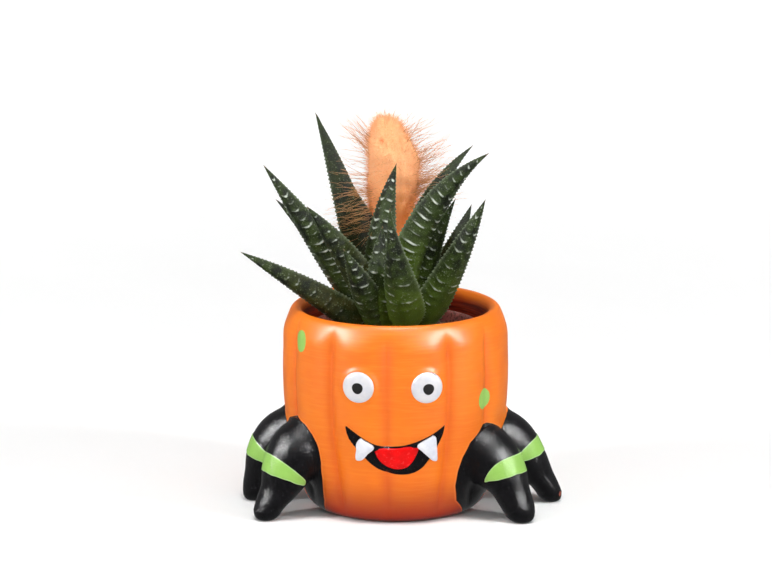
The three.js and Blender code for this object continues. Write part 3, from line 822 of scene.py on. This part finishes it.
def leafPaint():
    paint = Paint("leafSkin", 0.1)
    layers = ("ridge", "spot", "along", "innerFace", "keelWay", "pale", "warm", "brown", "tooth")
    ridge, spot, along, inner, keelWay, pale, warm, brown, tooth = map(paint.layer, layers)
    broad, fine, pores = paint.grain(4, 3), paint.grain(0.6, 3), paint.grain(0.3, 2)
    green = paint.mottle(broad, 0.38, 0.62, shade(12, 19, 4), shade(40, 54, 13))
    low = (1 - paint.step(along, 0.08, 0.66)) * warm
    green = paint.blend(low * (0.7 + broad * 0.5), green, shade(96, 122, 26))
    dull = brown * paint.step(broad, 0.35, 0.6) * (1 - paint.step(along, 0.3, 0.9))
    green = paint.blend(dull, green, shade(60, 40, 16))
    green = paint.blend(inner * 0.5, green, shade(24, 30, 12))
    green = paint.blend(paint.step(pores, 0.58, 0.68) * 0.3, green, shade(112, 130, 92))
    # small raised dots all over the skin
    near = paint.node("ShaderNodeTexVoronoi", {}, {"Vector": paint.place(), "Scale": 0.85})
    dots = (1 - paint.step(near, 0.1, 0.3)) * paint.step(broad, 0.25, 0.6)
    green = paint.blend(dots * 0.45, green, shade(128, 144, 104))
    crest = paint.step(ridge, 0.3, 0.8)
    green = paint.blend(crest * (0.15 + pale * 0.3) * (0.4 + fine), green, shade(150, 166, 138))
    # ridge middles painted near white: partly the ridges' own white, partly a painted highlight
    green = paint.blend(crest * spot * pale * (0.35 + fine), green, shade(224, 230, 218))
    green = paint.blend(tooth * 0.75, green, shade(150, 164, 132))
    green = paint.mottle(along, 0.972, 0.99, green, shade(96, 78, 50))
    bumps = paint.relief(pores + dots * 1.5, 0.14, 0.9)
    roughness = 0.42 + fine * 0.16 - crest * 0.12 + keelWay * 0.03
    return paint.finish(green, roughness, paint.relief(fine, 0.18, 0.6, bumps))


print("stage: haworthia")
leafMaterial = leafPaint()
for number, (name, spec) in enumerate(leaves.items()):
    makeLeaf(name, spec, number, leafMaterial)


def stemPaint():
    paint = Paint("stemSkin", 0.35)
    rings, fine = paint.grain(1.4, 3, (0.2, 0.2, 1)), paint.grain(0.4, 3)
    colour = paint.mottle(rings, 0.35, 0.65, shade(92, 84, 52), shade(128, 122, 78))
    colour = paint.blend(paint.step(fine, 0.55, 0.7) * 0.6, colour, shade(66, 48, 32))
    return paint.finish(colour, 0.6 + fine * 0.25, paint.relief(rings + fine * 0.5, 0.3, 0.8))


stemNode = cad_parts["haworthia_stem"]
stemNode.data.materials.clear()
stemNode.data.materials.append(stemPaint())


cactus = {
    "place": [-1.4, 14],
    "profile": [[0, 48], [4.5, 48.2], [6.6, 51], [7.3, 62], [7.7, 80], [7.9, 96], [8.1, 105], [8.5, 111],
                [9, 118], [9.1, 125.5], [8.6, 130], [7.5, 133.5], [6.1, 137.3], [4.7, 140], [3.2, 141.5],
                [1.5, 142.2], [0, 142.4]],
    # the column isn't straight: how far its middle stands to the side at each height
    "sway": [[48, 0], [100, 0], [107.8, -0.6], [112.8, -0.1], [118, 0], [126, 0.3], [130, -0.6],
             [133.5, -1.4], [137.3, -1.9], [141.2, -2.65], [142.4, -3]],
    "dimple": [-110, 134.3],
    "fuzz": 9000,
    "fuzzHeight": [67, 142.2],
    "fuzzLength": [0.6, 1.9],
    "fuzzThickness": 0.06,
    "hairThickness": 0.065,
    "hairSteps": 9,
}
# bundles of long hair: how many, lowest and highest root, way out and its spread, lift from level and its
# spread, shortest and longest, how much they droop
hairBundles = [
    [40, 126, 137, 190, 12, 46, 12, 10, 17, -0.1],
    [36, 114, 134, 184, 16, 14, 16, 7, 15, 0.05],
    [90, 112, 137, 358, 30, 26, 20, 7, 16, -0.05],
    [26, 122, 139, 345, 24, 52, 12, 7, 14, 0.0],
    [54, 112, 130, 2, 20, 22, 12, 10, 19, -0.1],
    [10, 138, 142, 300, 40, 78, 8, 6, 10, 0.0],
    [100, 99, 117, 214, 22, -2, 7, 11, 20, 0.1],
    [34, 113, 122, 205, 14, 12, 10, 8, 18, 0.15],
    [90, 104, 119, 350, 14, 30, 7, 11, 23, 0.05],
    [80, 100, 124, 338, 26, 6, 14, 9, 18, 0.2],
    [60, 100, 136, 250, 40, 10, 30, 2.5, 6, 0.2],
    [200, 92, 138, 90, 80, 22, 24, 4, 12, 0.1],
    [50, 118, 140, 90, 70, 50, 16, 5, 11, 0.0],
]


def cactusPoint(angle, z, lift=0.0):
    # points of the skin at each angle and height
    heights, shifts = np.array(cactus["sway"]).T
    turn, r = np.radians(angle), radiusAt(cactus["profile"][1:], z) + lift
    x = cactus["place"][0] + np.interp(z, heights, shifts) + r * np.cos(turn)
    return np.column_stack([x, cactus["place"][1] + r * np.sin(turn), z])


def makeCactusBody(material):
    mesh = turnedMesh("cactusBody", curveThrough(cactus["profile"], 0.6), 120)
    points = getPoints(mesh)
    r, angle, z = polar(points)
    a = np.radians(angle)
    ribs = 0.12 * np.cos(a * 16) * smooth(z, 142, 134)
    lumps = 0.28 * np.sin(0.31 * z + 2.2 * np.sin(a)) * np.sin(a * 3 + 0.11 * z)
    folds = 0.18 * np.sin(0.95 * z + 1.8 * np.cos(a * 2))
    way, height = cactus["dimple"]
    away = np.hypot(turnFrom(angle, way) * math.radians(1) * 8, z - height)
    grow = (ribs + lumps + folds) * smooth(r, 0.5, 4) - 0.9 * np.exp(-(away / 1.1) ** 2)
    heights, shifts = np.array(cactus["sway"]).T
    scale = (r + grow) / np.maximum(r, 1e-6)
    x = cactus["place"][0] + np.interp(z, heights, shifts) + points[:, 0] * scale
    setPoints(mesh, np.column_stack([x, cactus["place"][1] + points[:, 1] * scale, z]))
    addLayers(mesh, {"dimple": np.exp(-(away / 1.0) ** 2)})
    finishPiece("cactusBody", mesh, material, "woolly_cactus")


def makeFibres(name, lines, thickness, taper, material):
    # thin closed fibres along lines of points in millimetres, made as one bevelled curve
    curve = bpy.data.curves.new(name, "CURVE")
    curve.dimensions = "3D"
    curve.bevel_depth = thickness * mm
    curve.bevel_resolution = 0
    curve.use_fill_caps = True
    for points in lines:
        spline = curve.splines.new("POLY")
        spline.points.add(len(points) - 1)
        flat = np.column_stack([points * mm, np.ones(len(points))])
        spline.points.foreach_set("co", flat.ravel())
        spline.points.foreach_set("radius", np.linspace(1, taper, len(points)))
    holder = putInScene(name, curve)
    bpy.context.view_layer.update()
    ready = holder.evaluated_get(bpy.context.evaluated_depsgraph_get())
    mesh = bpy.data.meshes.new_from_object(ready)
    bpy.data.objects.remove(holder)
    bpy.data.curves.remove(curve)
    finishPiece(name, mesh, material, "woolly_cactus")


def makeFuzz(material):
    random = np.random.default_rng(5)
    count = cactus["fuzz"]
    bottom, top = cactus["fuzzHeight"]
    z = bottom + (top - bottom) * random.random(count) ** 0.7
    angle = random.random(count) * 360
    root = cactusPoint(angle, z, -0.3)
    slope = radiusAt(cactus["profile"][1:], z + 0.5) - radiusAt(cactus["profile"][1:], z - 0.5)
    outward = np.column_stack([np.cos(np.radians(angle)), np.sin(np.radians(angle)), -slope])
    outward /= np.linalg.norm(outward, axis=1)[:, None]
    outward += random.normal(0, 0.34, (count, 3))
    length = random.uniform(*cactus["fuzzLength"], count)[:, None] + 0.3
    lines = np.stack([root, root + outward * length], axis=1)
    makeFibres("cactusFuzz", lines, cactus["fuzzThickness"], 0.3, material)


def makeHair(material):
    random = np.random.default_rng(8)
    lines = []
    for count, lowest, highest, way, spread, lift, liftSpread, short, long, droop in hairBundles:
        for i in range(count):
            z = random.uniform(lowest, highest)
            angle = way + random.normal(0, spread * 0.6)
            point = cactusPoint(np.array([angle]), np.array([z]), -0.4)[0]
            rise = math.radians(lift + random.normal(0, liftSpread * 0.6))
            turn = math.radians(angle + random.normal(0, 14))
            level = math.cos(rise)
            heading = np.array([math.cos(turn) * level, math.sin(turn) * level, math.sin(rise)])
            length = random.uniform(short, long)
            bend = random.normal(0, 0.06, 3)
            points = [point]
            for k in range(cactus["hairSteps"]):
                heading = heading + bend * 0.55 + random.normal(0, 0.02, 3)
                heading[2] -= droop * 0.12
                heading /= np.linalg.norm(heading)
                point = point + heading * length / cactus["hairSteps"]
                points.append(point)
            lines.append(np.array(points))
    makeFibres("cactusHair", lines, cactus["hairThickness"], 0.35, material)


def woolPaint():
    paint = Paint("dyedWool", 0.25, {"Sheen Weight": 0.5, "Sheen Roughness": 0.45,
                                     "Sheen Tint": shade(255, 196, 150), "Emission Strength": 1.0})
    height = paint.height()
    broad, felt, fibres = paint.grain(5, 3), paint.grain(0.55, 4), paint.grain(0.7, 3, (1, 1, 0.25))
    ragged = height + (broad - 0.5) * 14
    colour = paint.mottle(ragged, 96, 128, shade(255, 172, 84), shade(255, 190, 134))
    colour = paint.blend(paint.step(broad, 0.35, 0.7) * 0.35, colour, shade(254, 192, 136))
    colour = paint.blend(paint.step(felt, 0.48, 0.66) * 0.42, colour, shade(240, 140, 80))
    # the dimple is painted darker orange: painted shade in the hollow
    colour = paint.blend(paint.layer("dimple") * 0.7, colour, shade(240, 120, 60))
    dirt = (1 - paint.step(height, 64, 82)) * (0.5 + broad * 0.5)
    colour = paint.blend(dirt, colour, shade(168, 104, 62))
    # the wool glows low down, between the leaves: painted light
    glow = paint.step(height, 126, 94) * paint.step(height, 74, 90)
    paint.feed("Emission Color", paint.blend(glow, shade(0, 0, 0), shade(150, 72, 26)))
    bumps = paint.relief(fibres, 0.35, 0.7, paint.relief(felt, 0.5))
    return paint.finish(colour, 0.75 + felt * 0.2, bumps)


def fuzzPaint(name, low, high, tip):
    paint = Paint(name, 0.4)
    strand, fine = paint.grain(1.8, 2), paint.grain(0.5, 2)
    colour = paint.blend(paint.step(paint.height(), 96, 128), low, high)
    colour = paint.blend(paint.step(strand, 0.4, 0.65) * 0.6, colour, tip)
    paint.feed("Base Color", colour)
    paint.feed("Roughness", 0.45 + fine * 0.2)
    return paint.material


print("stage: cactus")
makeCactusBody(woolPaint())
makeFuzz(fuzzPaint("feltFuzz", shade(255, 168, 98), shade(255, 202, 150), shade(244, 164, 98)))
makeHair(fuzzPaint("longHair", shade(208, 152, 84), shade(226, 158, 96), shade(172, 118, 62)))


studio = {
    "floorHalf": 8,
    "floorColour": shade(243, 243, 243),
    "worldStrength": 0.24,
    "sunStrength": 1.15,
    "sunSpread": 70,
    "sunTilt": (28, 0, 6),
    # place, aim, width, height, watts, and whether it lights the object or is only mirrored in it
    "lights": {
        "overhead": [(0.05, -0.35, 1.2), (0, 0, 0.06), 0.3, 0.2, 7, True],
        "rightBox": [(1.15, -0.6, 0.65), (0, 0, 0.05), 0.14, 0.34, 7.5, True],
        "leftBox": [(-1.15, -0.55, 0.65), (0, 0, 0.05), 0.14, 0.34, 7, True],
        "overheadShine": [(0.05, -0.1, 1.25), (0, 0, 0.06), 0.2, 0.2, 15, False],
        "rightShine": [(1.0, -0.75, 0.7), (0, 0, 0.05), 0.06, 0.44, 54, False],
        "leftShine": [(-1.1, -0.5, 0.75), (0, 0, 0.05), 0.06, 0.44, 54, False],
    },
}

photoView = {"turn": 1.8, "place": (-0.0035, -1.5, 0.408), "down": 12.32, "lens": 195.2}


def makeStudio():
    bm = bmesh.new()
    bmesh.ops.create_grid(bm, x_segments=4, y_segments=4, size=studio["floorHalf"])
    floor = putInScene("floor", meshFrom("floor", bm))
    paint = Paint("floorPaint", 0.2, {"Roughness": 0.6, "Emission Strength": 1.0})
    away = paint.node("ShaderNodeVectorMath", {"operation": "LENGTH"}, {0: paint.place()}, 1)
    # the floor fades to plain white away from the object
    paint.feed("Base Color", paint.mottle(away, 200, 900, studio["floorColour"], shade(250, 250, 250)))
    paint.feed("Emission Color", paint.mottle(away, 150, 1300, shade(0, 0, 0), shade(190, 190, 190)))
    floor.data.materials.append(paint.material)
    floor.visible_glossy = False  # dark paint stays dark beside the white floor
    # the room lights the object softly, and is plain white where it's seen directly
    world = bpy.data.worlds.new("studioWorld")
    world.use_nodes = True
    nodes, links = world.node_tree.nodes, world.node_tree.links
    room, seen = nodes["Background"], nodes.new("ShaderNodeBackground")
    room.inputs["Color"].default_value = seen.inputs["Color"].default_value = (1, 1, 1, 1)
    room.inputs["Strength"].default_value = studio["worldStrength"]
    mix, path = nodes.new("ShaderNodeMixShader"), nodes.new("ShaderNodeLightPath")
    links.new(path.outputs["Is Camera Ray"], mix.inputs[0])
    links.new(room.outputs[0], mix.inputs[1])
    links.new(seen.outputs[0], mix.inputs[2])
    links.new(mix.outputs[0], nodes["World Output"].inputs["Surface"])
    bpy.context.scene.world = world
    sun = bpy.data.lights.new("sun", "SUN")
    sun.energy, sun.angle = studio["sunStrength"], math.radians(studio["sunSpread"])
    putInScene("sun", sun).rotation_euler = [math.radians(tilt) for tilt in studio["sunTilt"]]
    for name, (place, aim, width, height, power, lights) in studio["lights"].items():
        lamp = bpy.data.lights.new(name, "AREA")
        lamp.shape, lamp.size, lamp.size_y, lamp.energy = "RECTANGLE", width, height, power
        holder = putInScene(name, lamp)
        holder.location = place
        holder.visible_diffuse = lights
        holder.rotation_euler = (Vector(aim) - Vector(place)).to_track_quat("-Z", "Y").to_euler()


def makeCamera():
    camera = bpy.data.cameras.new("photoCamera")
    camera.sensor_width, camera.lens = 36, photoView["lens"]
    camera.clip_start, camera.clip_end = 0.05, 50
    turn = Matrix.Rotation(math.radians(photoView["turn"]), 3, "Z")
    down = math.radians(photoView["down"])
    holder = putInScene("photoCamera", camera)
    holder.location = turn @ Vector(photoView["place"])
    ahead = turn @ Vector((0, math.cos(down), -math.sin(down)))
    holder.rotation_euler = ahead.to_track_quat("-Z", "Y").to_euler()
    bpy.context.scene.camera = holder
    bpy.context.scene.view_settings.view_transform = "Standard"


print("stage: studio")
makeStudio()
makeCamera()
